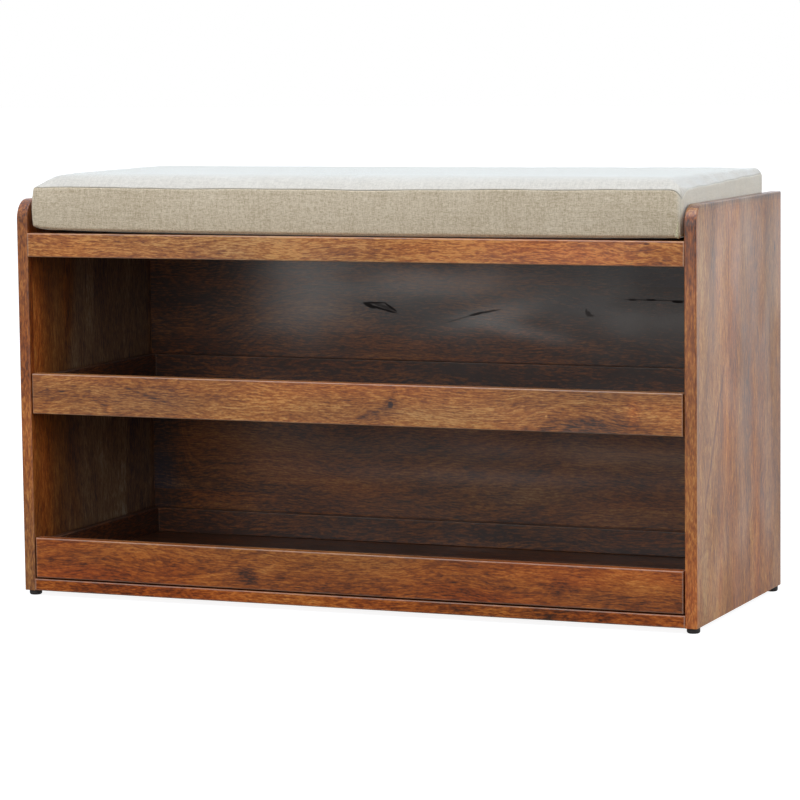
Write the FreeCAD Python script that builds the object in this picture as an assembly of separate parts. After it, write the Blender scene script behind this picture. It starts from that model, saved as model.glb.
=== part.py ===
import FreeCAD, Part
import os

# Entryway shoe bench: a dowelled wooden case, two pull-out shoe trays on wooden
# runners, and a loose boxed cushion lying between the raised sides.
# Millimetres. The origin is on the floor under the middle of the bench. +X is to the
# right of a person who faces the bench, -Y is its front and +Z is up.

# ---- Driving dimensions ----
WIDTH = 900.0
DEPTH = 350.0
SIDE_HEIGHT = 500.0
BOARD = 15.0                 # thickness of every case board
FOOT_HEIGHT = 7.0
SEAT_HEIGHT = 457.0          # top of the seat board above the underside of the case
SEAT_RAIL_HEIGHT = 30.0
CORNER_RADIUS = 25.0         # front top corner of each side
EASE = 1.5                   # rounding of the edges that a hand meets

BACK_THICKNESS = 8.0
BACK_RECESS = 2.0            # the back lies this far inside the sides' rear edges
REBATE_WIDTH = 10.0
BACK_CLEARANCE = 0.5

TRAY_HEIGHTS = {"lower_tray": 17.0, "upper_tray": 227.5}   # rail's underside above the case's
TRAY_RAIL_HEIGHT = 51.0
TRAY_SIDE_GAP = 2.0          # between a tray and the case, each side
TRAY_WALL = 12.0
TRAY_WALL_HEIGHT = 48.0
TRAY_REAR = 160.0            # rear face of a tray
TRAY_FLOOR_BOTTOM = 6.0
TRAY_FLOOR_TOP = 15.0
FLOOR_GROOVE_DEPTH = 5.0
FLOOR_CLEARANCE = 0.5
RUNNER_GROOVE_BOTTOM = 24.0
RUNNER_GROOVE_HEIGHT = 12.6
RUNNER_GROOVE_DEPTH = 6.5

RUNNER_THICKNESS = 8.0
RUNNER_HEIGHT = 12.0
RUNNER_FRONT_GAP = 0.5       # the closed tray's rail stops this far from the runner
RUNNER_REAR = 150.0

DOWEL_RADIUS = 4.0
SMALL_DOWEL_RADIUS = 3.0
DOWEL_CHAMFER = 0.8
DOWEL_SLACK = 0.5            # free depth past each end of a dowel
DOWEL_IN_SIDE = 10.0
DOWEL_IN_BOARD = 20.0
DOWEL_IN_RAIL = 8.0
DOWEL_IN_EDGE = 14.0

SCREW_RADIUS = 1.75
SCREW_HEAD_RADIUS = 3.5
SCREW_HEAD_DEPTH = 2.0
SCREW_TIP = 4.0
RECESS_LENGTH = 3.6
RECESS_WIDTH = 0.8
RECESS_DEPTH = 1.3
BACK_SCREW_LENGTH = 25.0
RUNNER_SCREW_LENGTH = 16.0
CORNER_SCREW_LENGTH = 30.0
FLOOR_SCREW_LENGTH = 25.0

FOOT_RADIUS = 8.0
FOOT_EDGE = 2.5
FOOT_INSET_X = 8.5
FOOT_INSET_Y = 13.0
NAIL_RADIUS = 1.1
NAIL_HEAD_RADIUS = 3.5
NAIL_HEAD_BOTTOM = 3.0
NAIL_HEAD_THICKNESS = 1.2
NAIL_IN_SIDE = 15.0

CUSHION_WIDTH = 860.0
CUSHION_DEPTH = 328.0
CUSHION_HEIGHT = 73.0
CUSHION_SHIFT = 4.0          # the loose cushion lies nearer to the right side
CUSHION_FRONT_INSET = 1.0
CUSHION_LIFT = 0.3           # clearance over the seat board
CUSHION_EDGE = 10.0
COVER_THICKNESS = 1.5
TOP_SEAM_HEIGHT = 57.0       # above the cushion's underside
BOTTOM_SEAM_HEIGHT = 8.0

ZIP_LENGTH = 680.0
ZIP_HEIGHT = 7.0
ZIP_THICKNESS = 1.2
ZIP_CENTRE = 30.0            # above the cushion's underside
ZIP_CLEARANCE = 0.3
SLIDER_LENGTH = 10.0
SLIDER_HEIGHT = 8.0
SLIDER_THICKNESS = 3.0
PULL_LENGTH = 22.0
PULL_WIDTH = 5.0
PULL_THICKNESS = 1.2

# ---- Places worked out from them ----
HALF_WIDTH = WIDTH / 2
INNER = HALF_WIDTH - BOARD
FRONT = -DEPTH / 2
REAR = DEPTH / 2
RAIL_BACK = FRONT + BOARD
BASE = FOOT_HEIGHT
TOP = BASE + SIDE_HEIGHT
SEAT_TOP = BASE + SEAT_HEIGHT
SEAT_UNDERSIDE = SEAT_TOP - BOARD
BACK_OUTER = REAR - BACK_RECESS
BACK_INNER = BACK_OUTER - BACK_THICKNESS
TRAY_HALF_WIDTH = INNER - TRAY_SIDE_GAP
TRAY_INNER = TRAY_HALF_WIDTH - TRAY_WALL
BOTTOM_CENTRE = BASE + BOARD / 2
SEAT_CENTRE = SEAT_TOP - BOARD / 2
RUNNER_BOTTOM = RUNNER_GROOVE_BOTTOM + (RUNNER_GROOVE_HEIGHT - RUNNER_HEIGHT) / 2

BOARD_DOWEL_ROWS = (-120.0, 0.0, 120.0)
RAIL_DOWEL_PLACES = (-375.0, -225.0, -75.0, 75.0, 225.0, 375.0)
TRAY_DOWEL_HEIGHTS = (19.0, 42.0)
RUNNER_SCREW_ROWS = (-130.0, 0.0, 130.0)
BACK_SCREW_PLACES = (-400.0, -240.0, -80.0, 80.0, 240.0, 400.0)
BACK_SIDE_SCREW_HEIGHTS = (130.0, 310.0)
FLOOR_SCREW_PLACES = (-340.0, -170.0, 0.0, 170.0, 340.0)
TRAY_CORNER_SCREW_HEIGHTS = (19.5, 42.2)

SIDES = {"left": -1.0, "right": 1.0}
UP = FreeCAD.Vector(0, 0, 1)
BACKWARD = FreeCAD.Vector(0, 1, 0)
FORWARD = FreeCAD.Vector(0, -1, 0)


def vector(x, y, z):
    return FreeCAD.Vector(x, y, z)


def outward(sign):
    """Unit vector from the middle of the bench towards one side."""
    return vector(sign, 0, 0)


def box(x_range, y_range, z_range):
    """Axis-aligned box between two values along each axis, given in either order."""
    low = vector(min(x_range), min(y_range), min(z_range))
    high = vector(max(x_range), max(y_range), max(z_range))
    size = high - low
    return Part.makeBox(size.x, size.y, size.z, low)


def pointed_along(shape, point, direction):
    """Copy of a shape made along +Z, turned to direction and moved to point."""
    copy = shape.copy()
    copy.Placement = FreeCAD.Placement(point, FreeCAD.Rotation(UP, direction))
    return copy


def turned(profile):
    """Solid of revolution about Z from (radius, height) corners."""
    points = [vector(radius, 0, height) for radius, height in profile]
    face = Part.Face(Part.makePolygon(points + [points[0]]))
    return face.revolve(vector(0, 0, 0), UP, 360)


def eased(shape, wanted, radius=EASE):
    """Round every edge for which wanted(bounding box) is true."""
    edges = [edge for edge in shape.Edges if wanted(edge.BoundBox)]
    return shape.makeFillet(radius, edges)


def drilled(board, fasteners):
    """The board with a close-fitting hole for every fastener that enters it."""
    return board.cut(fasteners).Solids[0]


# ---- Fasteners: each function makes one solid, and its hole's shape ----
def dowel(point, direction, depth_before, depth_after, radius):
    """Fluteless wooden dowel across a joint face at point, chamfered at both ends."""
    length = depth_before + depth_after
    rim = radius - DOWEL_CHAMFER
    pin = turned([(0, 0), (rim, 0), (radius, DOWEL_CHAMFER), (radius, length - DOWEL_CHAMFER),
                  (rim, length), (0, length)])
    return pointed_along(pin, point - direction * depth_before, direction)


def dowel_hole(point, direction, depth_before, depth_after, radius):
    start = point - direction * (depth_before + DOWEL_SLACK)
    return Part.makeCylinder(radius, depth_before + depth_after + 2 * DOWEL_SLACK, start, direction)


def screw_blank(length):
    """Countersunk screw without its drive recess, head face at the origin, shank along +Z."""
    return turned([(0, 0), (SCREW_HEAD_RADIUS, 0), (SCREW_RADIUS, SCREW_HEAD_DEPTH),
                   (SCREW_RADIUS, length - SCREW_TIP), (0, length)])


def screw(point, direction, length):
    half = RECESS_LENGTH / 2
    slot = RECESS_WIDTH / 2
    depth = (-1, RECESS_DEPTH)
    cross = box((-half, half), (-slot, slot), depth).fuse(box((-slot, slot), (-half, half), depth))
    return pointed_along(screw_blank(length).cut(cross), point, direction)


def screw_hole(point, direction, length):
    return pointed_along(screw_blank(length), point, direction)


def set_of(maker, places):
    """One solid for each tuple of arguments in places."""
    return [maker(*place) for place in places]


# ---- Where the fasteners go ----
def board_dowel_places(height):
    """Three dowels at each end of a case board whose mid-plane is at this height."""
    return [(vector(sign * INNER, row, height), outward(sign), DOWEL_IN_BOARD, DOWEL_IN_SIDE, DOWEL_RADIUS)
            for sign in SIDES.values() for row in BOARD_DOWEL_ROWS]


def seat_rail_dowel_places():
    """One dowel at each end of the seat rail, and a row into the seat board behind it."""
    rail_middle = (FRONT + RAIL_BACK) / 2
    height = SEAT_TOP - SEAT_RAIL_HEIGHT / 2
    ends = [(vector(sign * INNER, rail_middle, height), outward(sign), DOWEL_IN_BOARD, DOWEL_IN_SIDE,
             SMALL_DOWEL_RADIUS) for sign in SIDES.values()]
    row = [(vector(x, RAIL_BACK, SEAT_CENTRE), BACKWARD, DOWEL_IN_RAIL, DOWEL_IN_EDGE, SMALL_DOWEL_RADIUS)
           for x in RAIL_DOWEL_PLACES]
    return ends + row


def back_screw_places():
    """Rows along the seat board and the bottom panel, and two screws up each side."""
    rows = [(vector(x, BACK_OUTER, height), FORWARD, BACK_SCREW_LENGTH)
            for height in (BOTTOM_CENTRE, SEAT_CENTRE) for x in BACK_SCREW_PLACES]
    side_x = INNER + REBATE_WIDTH / 2 - BACK_CLEARANCE
    uprights = [(vector(sign * side_x, BACK_OUTER, height), FORWARD, BACK_SCREW_LENGTH)
                for sign in SIDES.values() for height in BACK_SIDE_SCREW_HEIGHTS]
    return rows + uprights


def runner_screw_places(sign, tray_bottom):
    height = tray_bottom + RUNNER_BOTTOM + RUNNER_HEIGHT / 2
    face = sign * (INNER - RUNNER_THICKNESS)
    return [(vector(face, row, height), outward(sign), RUNNER_SCREW_LENGTH) for row in RUNNER_SCREW_ROWS]


def all_runner_screw_places():
    return [place for tray in TRAY_HEIGHTS.values() for sign in SIDES.values()
            for place in runner_screw_places(sign, BASE + tray)]


def foot_places():
    """Middle of each foot on the floor, by name."""
    return {front + "_" + side: vector(sign * (HALF_WIDTH - FOOT_INSET_X), end, 0)
            for side, sign in SIDES.items()
            for front, end in (("front", FRONT + FOOT_INSET_Y), ("rear", REAR - FOOT_INSET_Y))}


# ---- The case ----
def side_outline():
    """Side view of a side panel: square corners except the rounded front top one."""
    start = vector(0, FRONT, TOP - CORNER_RADIUS)
    end = vector(0, FRONT + CORNER_RADIUS, TOP)
    reach = CORNER_RADIUS * (1 - 0.5 ** 0.5)
    corner = Part.Arc(start, vector(0, FRONT + reach, TOP - reach), end).toShape()
    corners = [end, vector(0, REAR, TOP), vector(0, REAR, BASE), vector(0, FRONT, BASE), start]
    lines = [Part.makeLine(a, b) for a, b in zip(corners, corners[1:])]
    return Part.Face(Part.Wire([corner] + lines))


def side_panel(sign):
    """Side with a stopped rebate for the back, and holes for dowels, screws and nails."""
    panel = side_outline().extrude(outward(sign) * BOARD)
    panel.translate(vector(sign * INNER, 0, 0))

    def on_front_or_top(bounds):
        across = bounds.XLength > EASE
        at_bottom = bounds.ZMax < BASE + EASE
        inside_rear = abs(bounds.XMin) < HALF_WIDTH - EASE and bounds.YMin > REAR - EASE
        return not (across or at_bottom or inside_rear)

    panel = eased(panel, on_front_or_top)
    rebate = box((sign * (INNER - 1), sign * (INNER + REBATE_WIDTH)), (BACK_INNER, REAR + 1), (BASE - 1, SEAT_TOP))
    holes = set_of(dowel_hole, board_dowel_places(BOTTOM_CENTRE) + board_dowel_places(SEAT_CENTRE)
                   + seat_rail_dowel_places())
    holes += set_of(screw_hole, back_screw_places() + all_runner_screw_places())
    holes += [foot_nail(place) for place in foot_places().values()]
    near = [hole for hole in holes if hole.BoundBox.intersect(panel.BoundBox)]
    return drilled(panel.cut(rebate), near)


def bottom_panel():
    board = box((-INNER, INNER), (FRONT, BACK_INNER), (BASE, BASE + BOARD))
    board = eased(board, lambda bounds: bounds.XLength > INNER and bounds.YMax < RAIL_BACK)
    return drilled(board, set_of(dowel_hole, board_dowel_places(BOTTOM_CENTRE))
                   + set_of(screw_hole, back_screw_places()))


def seat_board():
    board = box((-INNER, INNER), (RAIL_BACK, BACK_INNER), (SEAT_UNDERSIDE, SEAT_TOP))
    return drilled(board, set_of(dowel_hole, board_dowel_places(SEAT_CENTRE) + seat_rail_dowel_places())
                   + set_of(screw_hole, back_screw_places()))


def seat_front_rail():
    rail = box((-INNER, INNER), (FRONT, RAIL_BACK), (SEAT_TOP - SEAT_RAIL_HEIGHT, SEAT_TOP))
    rail = eased(rail, lambda bounds: bounds.XLength > INNER and bounds.YMax < RAIL_BACK)
    return drilled(rail, set_of(dowel_hole, seat_rail_dowel_places()))


def back_panel():
    half = INNER + REBATE_WIDTH - BACK_CLEARANCE
    board = box((-half, half), (BACK_INNER, BACK_OUTER), (BASE, SEAT_TOP - BACK_CLEARANCE))
    return drilled(board, set_of(screw_hole, back_screw_places()))


# ---- Feet ----
def foot_nail(place):
    """Nail whose head is held inside the glide and whose shank goes up into the side."""
    head_top = NAIL_HEAD_BOTTOM + NAIL_HEAD_THICKNESS
    nail = turned([(0, NAIL_HEAD_BOTTOM), (NAIL_HEAD_RADIUS, NAIL_HEAD_BOTTOM), (NAIL_HEAD_RADIUS, head_top),
                   (NAIL_RADIUS, head_top), (NAIL_RADIUS, FOOT_HEIGHT + NAIL_IN_SIDE - NAIL_HEAD_RADIUS),
                   (0, FOOT_HEIGHT + NAIL_IN_SIDE)])
    nail.translate(place)
    return nail


def foot_glide(place):
    """Round black glide with a rounded lower edge."""
    disc = Part.makeCylinder(FOOT_RADIUS, FOOT_HEIGHT, place)
    disc = eased(disc, lambda bounds: bounds.ZMax < FOOT_EDGE, FOOT_EDGE)
    return drilled(disc, [foot_nail(place)])


# ---- Runners and trays ----
def runner(sign, tray_bottom):
    """Hardwood strip screwed to the side, which fills the groove along a tray."""
    bottom = tray_bottom + RUNNER_BOTTOM
    strip = box((sign * INNER, sign * (INNER - RUNNER_THICKNESS)), (RAIL_BACK + RUNNER_FRONT_GAP, RUNNER_REAR),
                (bottom, bottom + RUNNER_HEIGHT))
    return drilled(strip, set_of(screw_hole, runner_screw_places(sign, tray_bottom)))


def tray_dowel_places(bottom):
    middle = TRAY_HALF_WIDTH - TRAY_WALL / 2
    return [(vector(sign * middle, RAIL_BACK, bottom + height), BACKWARD, DOWEL_IN_RAIL, DOWEL_IN_EDGE,
             SMALL_DOWEL_RADIUS) for sign in SIDES.values() for height in TRAY_DOWEL_HEIGHTS]


def tray_corner_screw_places(bottom):
    middle = TRAY_REAR - TRAY_WALL / 2
    return [(vector(sign * TRAY_HALF_WIDTH, middle, bottom + height), outward(-sign), CORNER_SCREW_LENGTH)
            for sign in SIDES.values() for height in TRAY_CORNER_SCREW_HEIGHTS]


def tray_floor_screw_places(bottom):
    middle = TRAY_REAR - TRAY_WALL / 2
    return [(vector(x, middle, bottom + TRAY_FLOOR_BOTTOM), UP, FLOOR_SCREW_LENGTH) for x in FLOOR_SCREW_PLACES]


def tray_front_rail(bottom):
    """Rail with all four front edges eased and a groove behind for the floor."""
    rail = box((-TRAY_HALF_WIDTH, TRAY_HALF_WIDTH), (FRONT, RAIL_BACK), (bottom, bottom + TRAY_RAIL_HEIGHT))
    rail = eased(rail, lambda bounds: bounds.YMax < FRONT + EASE)
    reach = TRAY_INNER + FLOOR_GROOVE_DEPTH
    groove = box((-reach, reach), (RAIL_BACK - FLOOR_GROOVE_DEPTH, RAIL_BACK + 1),
                 (bottom + TRAY_FLOOR_BOTTOM, bottom + TRAY_FLOOR_TOP))
    return drilled(rail.cut(groove), set_of(dowel_hole, tray_dowel_places(bottom)))


def tray_side(bottom, sign):
    """Side with the floor's groove inside and the runner's groove outside."""
    lengthwise = (RAIL_BACK, TRAY_REAR)
    wall = box((sign * TRAY_INNER, sign * TRAY_HALF_WIDTH), lengthwise, (bottom, bottom + TRAY_WALL_HEIGHT))
    wall = eased(wall, lambda bounds: bounds.YLength > DEPTH / 2 and bounds.ZMin > bottom + EASE)
    floor_groove = box((sign * (TRAY_INNER - 1), sign * (TRAY_INNER + FLOOR_GROOVE_DEPTH)),
                       (RAIL_BACK - 1, TRAY_REAR + 1), (bottom + TRAY_FLOOR_BOTTOM, bottom + TRAY_FLOOR_TOP))
    low = bottom + RUNNER_GROOVE_BOTTOM
    runner_groove = box((sign * (TRAY_HALF_WIDTH - RUNNER_GROOVE_DEPTH), sign * (TRAY_HALF_WIDTH + 1)),
                        (RAIL_BACK - 1, TRAY_REAR + 1), (low, low + RUNNER_GROOVE_HEIGHT))
    return drilled(wall.cut([floor_groove, runner_groove]), set_of(dowel_hole, tray_dowel_places(bottom))
                   + set_of(screw_hole, tray_corner_screw_places(bottom)))


def tray_back(bottom):
    """Back that stands on the floor between the sides."""
    wall = box((-TRAY_INNER, TRAY_INNER), (TRAY_REAR - TRAY_WALL, TRAY_REAR),
               (bottom + TRAY_FLOOR_TOP, bottom + TRAY_WALL_HEIGHT))
    wall = eased(wall, lambda bounds: bounds.XLength > INNER and bounds.ZMin > bottom + TRAY_WALL)
    return drilled(wall, set_of(screw_hole, tray_corner_screw_places(bottom) + tray_floor_screw_places(bottom)))


def tray_floor(bottom):
    half = TRAY_INNER + FLOOR_GROOVE_DEPTH - FLOOR_CLEARANCE
    front = RAIL_BACK - FLOOR_GROOVE_DEPTH + FLOOR_CLEARANCE
    panel = box((-half, half), (front, TRAY_REAR), (bottom + TRAY_FLOOR_BOTTOM, bottom + TRAY_FLOOR_TOP))
    return drilled(panel, set_of(screw_hole, tray_floor_screw_places(bottom)))


def tray(name, bottom):
    """Every node of one tray."""
    nodes = {name + "_front_rail": tray_front_rail(bottom), name + "_back": tray_back(bottom),
             name + "_floor": tray_floor(bottom)}
    for side, sign in SIDES.items():
        nodes[name + "_" + side + "_side"] = tray_side(bottom, sign)
    nodes[name + "_dowels"] = Part.makeCompound(set_of(dowel, tray_dowel_places(bottom)))
    nodes[name + "_corner_screws"] = Part.makeCompound(set_of(screw, tray_corner_screw_places(bottom)))
    nodes[name + "_floor_screws"] = Part.makeCompound(set_of(screw, tray_floor_screw_places(bottom)))
    return nodes


# ---- Cushion ----
def cushion_block(inset):
    """The cushion's rounded outer block, made smaller by inset on every side."""
    half = CUSHION_WIDTH / 2 - inset
    front = FRONT + CUSHION_FRONT_INSET
    bottom = SEAT_TOP + CUSHION_LIFT
    block = box((CUSHION_SHIFT - half, CUSHION_SHIFT + half), (front + inset, front + CUSHION_DEPTH - inset),
                (bottom + inset, bottom + CUSHION_HEIGHT - inset))
    return block.makeFillet(CUSHION_EDGE - inset, block.Edges)


def cushion_nodes():
    """Foam core and the three panels of its cover, which meet at the two seams."""
    foam = cushion_block(COVER_THICKNESS)
    cover = cushion_block(0).cut(foam)
    bottom = SEAT_TOP + CUSHION_LIFT
    seams = (bottom - 1, bottom + BOTTOM_SEAM_HEIGHT, bottom + TOP_SEAM_HEIGHT, bottom + CUSHION_HEIGHT + 1)
    nodes = {"cushion_foam": foam}
    for name, low, high in zip(("bottom_panel", "boxing", "top_panel"), seams, seams[1:]):
        layer = box((-WIDTH, WIDTH), (-DEPTH, DEPTH), (low, high))
        nodes["cushion_" + name] = cover.common(layer).Solids[0]
    return nodes


def zip_nodes():
    """Zip across the rear boxing, with its slider and pull parked at the left end."""
    face = FRONT + CUSHION_FRONT_INSET + CUSHION_DEPTH
    middle = SEAT_TOP + CUSHION_LIFT + ZIP_CENTRE
    left = CUSHION_SHIFT - ZIP_LENGTH / 2
    tape = box((left, left + ZIP_LENGTH), (face, face + ZIP_THICKNESS),
               (middle - ZIP_HEIGHT / 2, middle + ZIP_HEIGHT / 2))
    slider_face = face + ZIP_THICKNESS + ZIP_CLEARANCE
    slider = box((left, left + SLIDER_LENGTH), (slider_face, slider_face + SLIDER_THICKNESS),
                 (middle - SLIDER_HEIGHT / 2, middle + SLIDER_HEIGHT / 2))
    slider = slider.makeFillet(1.0, slider.Edges)
    pull_x = left + SLIDER_LENGTH / 2
    pull_face = slider_face + SLIDER_THICKNESS
    pull = box((pull_x - PULL_WIDTH / 2, pull_x + PULL_WIDTH / 2), (pull_face, pull_face + PULL_THICKNESS),
               (middle - PULL_LENGTH, middle + PULL_WIDTH / 4))
    return {"cushion_zip": tape, "zip_slider": slider, "zip_pull": pull}


# ---- Every node of the bench ----
def bench():
    nodes = {"bottom_panel": bottom_panel(), "seat_board": seat_board(), "seat_front_rail": seat_front_rail(),
             "back_panel": back_panel()}
    nodes["bottom_panel_dowels"] = Part.makeCompound(set_of(dowel, board_dowel_places(BOTTOM_CENTRE)))
    nodes["seat_board_dowels"] = Part.makeCompound(set_of(dowel, board_dowel_places(SEAT_CENTRE)))
    nodes["seat_rail_dowels"] = Part.makeCompound(set_of(dowel, seat_rail_dowel_places()))
    nodes["back_panel_screws"] = Part.makeCompound(set_of(screw, back_screw_places()))
    nodes["runner_screws"] = Part.makeCompound(set_of(screw, all_runner_screw_places()))
    for side, sign in SIDES.items():
        nodes[side + "_side_panel"] = side_panel(sign)
        for name, height in TRAY_HEIGHTS.items():
            nodes[name + "_" + side + "_runner"] = runner(sign, BASE + height)
    for name, place in foot_places().items():
        nodes["foot_glide_" + name] = foot_glide(place)
    nodes["foot_nails"] = Part.makeCompound([foot_nail(place) for place in foot_places().values()])
    for name, height in TRAY_HEIGHTS.items():
        nodes.update(tray(name, BASE + height))
    nodes.update(cushion_nodes())
    nodes.update(zip_nodes())
    return nodes


os.makedirs("parts", exist_ok=True)
for node, shape in bench().items():
    shape.exportStep("parts/" + node + ".step")
    print(node, len(shape.Solids), "solids", round(shape.Volume), "mm3", shape.isValid())
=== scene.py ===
"""Looks of the entryway bench: a stained wooden shoe bench with two pull-out trays and a linen cushion.

Metres throughout, in the row frame: +X to the right of a person who faces the bench, -Y its front, +Z up.
"""

import math
from collections import namedtuple
from functools import partial, reduce

import bpy
import numpy as np
from mathutils import Matrix, Vector

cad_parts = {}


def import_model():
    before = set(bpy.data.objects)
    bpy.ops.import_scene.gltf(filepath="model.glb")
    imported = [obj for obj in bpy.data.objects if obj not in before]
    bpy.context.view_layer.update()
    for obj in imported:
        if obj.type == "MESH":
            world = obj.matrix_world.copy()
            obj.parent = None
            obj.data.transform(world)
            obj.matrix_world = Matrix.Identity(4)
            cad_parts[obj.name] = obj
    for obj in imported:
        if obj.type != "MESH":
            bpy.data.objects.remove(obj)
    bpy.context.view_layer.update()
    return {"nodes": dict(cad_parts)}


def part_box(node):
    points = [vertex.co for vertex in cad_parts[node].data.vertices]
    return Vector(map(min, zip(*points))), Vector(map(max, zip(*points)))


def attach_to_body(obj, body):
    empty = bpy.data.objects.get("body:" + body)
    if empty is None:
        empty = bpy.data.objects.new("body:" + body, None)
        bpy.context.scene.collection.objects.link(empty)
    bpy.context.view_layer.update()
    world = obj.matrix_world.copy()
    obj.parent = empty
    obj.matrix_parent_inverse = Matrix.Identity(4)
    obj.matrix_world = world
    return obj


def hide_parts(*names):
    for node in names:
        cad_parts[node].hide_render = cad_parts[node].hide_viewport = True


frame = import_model()

MM = 0.001
AXES = "XYZ"


# ---------------------------------------------------------------- shader building


class Field:
    """A number that varies over a surface. Arithmetic on it adds Math nodes."""

    def __init__(self, shader, socket):
        self.shader = shader
        self.socket = socket

    def __add__(self, other):
        return self.shader.math("ADD", self, other)

    def __sub__(self, other):
        return self.shader.math("SUBTRACT", self, other)

    def __rsub__(self, other):
        return self.shader.math("SUBTRACT", other, self)

    def __mul__(self, other):
        return self.shader.math("MULTIPLY", self, other)

    def __truediv__(self, other):
        return self.shader.math("DIVIDE", self, other)

    __radd__ = __add__
    __rmul__ = __mul__


class Shader:
    """A material or world under construction. Each method adds a node and gives back its output."""

    def __init__(self, name, world=None, **constants):
        self.material = world or bpy.data.materials.new(name)
        self.material.use_nodes = True
        tree = self.material.node_tree
        self.nodes, self.links = tree.nodes, tree.links
        self.surface = self.nodes["Background" if world else "Principled BSDF"]
        for key, value in constants.items():
            self.set(key.replace("_", " ").title().replace("Ior", "IOR"), value)

    def put(self, socket, value):
        if isinstance(value, Field):
            self.links.new(value.socket, socket)
        else:
            socket.default_value = value

    def set(self, name, value):
        """Sets or links one of the surface's own inputs."""
        self.put(self.surface.inputs[name], value)

    def add(self, kind, inputs=None, **settings):
        node = self.nodes.new("ShaderNode" + kind)
        for key, value in settings.items():
            setattr(node, key, value)
        for key, value in (inputs or {}).items():
            self.put(node.inputs[key], value)
        return node

    def math(self, operation, *values):
        node = self.add("Math", dict(enumerate(values)), operation=operation)
        return Field(self, node.outputs[0])

    def constant(self, value):
        node = self.add("Value")
        node.outputs[0].default_value = value
        return Field(self, node.outputs[0])

    def least(self, *values):
        return reduce(partial(self.math, "MINIMUM"), values)

    def most(self, *values):
        return reduce(partial(self.math, "MAXIMUM"), values)

    def split(self, place, count):
        parts = self.add("SeparateXYZ", {0: Field(self, place)})
        return [Field(self, parts.outputs[i]) for i in range(count)]

    def point(self):
        """The three row frame coordinates of the shaded point."""
        return self.split(self.add("TexCoord").outputs["Object"], 3)

    def sheet_point(self, layer):
        """The two coordinates of a UV layer."""
        return self.split(self.add("UVMap", uv_map=layer).outputs["UV"], 2)

    def texture(self, kind, output, place, **inputs):
        """A texture node read at a place, with features about one unit across."""
        at = self.add("CombineXYZ", dict(enumerate(place))).outputs[0]
        inputs.update(Vector=Field(self, at), Scale=1.0)
        return Field(self, self.add(kind, inputs).outputs[output])

    def noise(self, x, y, z, detail=2.0, roughness=0.5):
        """Smooth noise, about 0 to 1."""
        return self.texture("TexNoise", "Fac", (x, y, z), Detail=detail, Roughness=roughness)

    def cells(self, x, y, z):
        """Distance to the nearest of scattered points."""
        return self.texture("TexVoronoi", "Distance", (x, y, z))

    def grain(self, rate, detail=2.0):
        """Noise with that many features in a metre, alike all ways."""
        return self.noise(*(place * rate for place in self.point()), detail=detail)

    def crystals(self, rate):
        """Cells with that many in a metre, alike all ways."""
        return self.cells(*(place * rate for place in self.point()))

    def chance(self, value):
        """A random number from 0 to 1 for each value."""
        node = self.add("TexWhiteNoise", {"W": value}, noise_dimensions="1D")
        return Field(self, node.outputs["Value"])

    def rise(self, value, low, high):
        """0 at low, 1 at high, smooth between. Low may be above high."""
        flip = low > high
        start, end = (high, low) if flip else (low, high)
        inputs = {
            "Value": value,
            "From Min": start,
            "From Max": end,
            "To Min": 1.0 if flip else 0.0,
            "To Max": 0.0 if flip else 1.0,
        }
        node = self.add("MapRange", inputs, interpolation_type="SMOOTHSTEP")
        return Field(self, node.outputs["Result"])

    def ramp(self, value, stops):
        """A colour for each value, from (place, colour) stops."""
        node = self.add("ValToRGB", {"Fac": value})
        points = node.color_ramp.elements
        while len(points) < len(stops):
            points.new(0.5)
        for point, (place, colour) in zip(points, stops):
            point.position = place
            point.color = (*colour, 1.0)
        return Field(self, node.outputs["Color"])

    def colour(self, value, *stops):
        """Colours the surface by a value, as ramp does."""
        self.set("Base Color", self.ramp(value, stops))

    def mix(self, share, under, over, blend="MIX"):
        """Colour over laid on colour under, by share."""
        node = self.add("Mix", data_type="RGBA", blend_type=blend)
        self.put(node.inputs[0], share)
        for index, colour in ((6, under), (7, over)):
            self.put(node.inputs[index], colour if isinstance(colour, Field) else (*colour, 1.0))
        return Field(self, node.outputs[2])

    def bump(self, height, depth):
        """Bends the surface's normal by a height field. Depth is in metres."""
        node = self.add("Bump", {"Height": height, "Distance": depth, "Strength": 1.0})
        self.set("Normal", Field(self, node.outputs["Normal"]))


# ---------------------------------------------------------------- wood


# grain: the axes along the fibres, across the board and through its thickness.
# shade and cool: lightness and hue steps of the stain. wear: how much its edges are lightened, partly by
# rubbed wear and partly as a painted highlight on the eased edges.
# pith: how far the log's centre lies from the board's centre, across and through.
# slope: how fast the log's centre leaves the board along the grain, which makes the arches.
# staves: the width of the strips it is glued from, or 0.
# gloss: how much lacquer it has; below 0 it is duller than bare wood. texture: how strong its fibres show.
# marks: figures in the wood, and patches of painted light. sheens: places with more lacquer.
Timber = namedtuple(
    "Timber",
    "grain seed shade cool wear pith slope staves gloss texture marks sheens",
    defaults=(0.0, 0.0, 1.0, (0.02, 0.08), 0.02, 0.0, 0.05, 1.0, (), ()),
)

# A figure in the wood, or a patch of painted light: its place along and across the grain, half its
# length and height, how much it darkens (below 0, lightens) the wood, how much it leans, how dead its
# heart is (0 to 1), how much it reddens the wood, and how strongly the growth rings round it show.
Mark = namedtuple("Mark", "along across long tall dark lean core warm rings", defaults=(0.0,) * 4)

# A place with more lacquer: where and how large it is, how much it shines and how much it leans.
Sheen = namedtuple("Sheen", "along across long tall amount lean", defaults=(0.0,))

DARK_STREAK = (0.050, 0.020, 0.011)
RED_BROWN = (0.168, 0.046, 0.012)
BROWN = (0.310, 0.092, 0.016)
ORANGE = (0.455, 0.165, 0.034)
GOLD = (0.620, 0.290, 0.080)
WEAR_AND_HIGHLIGHT = (0.55, 0.40, 0.30)
KNOT = (0.028, 0.024, 0.026)

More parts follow.
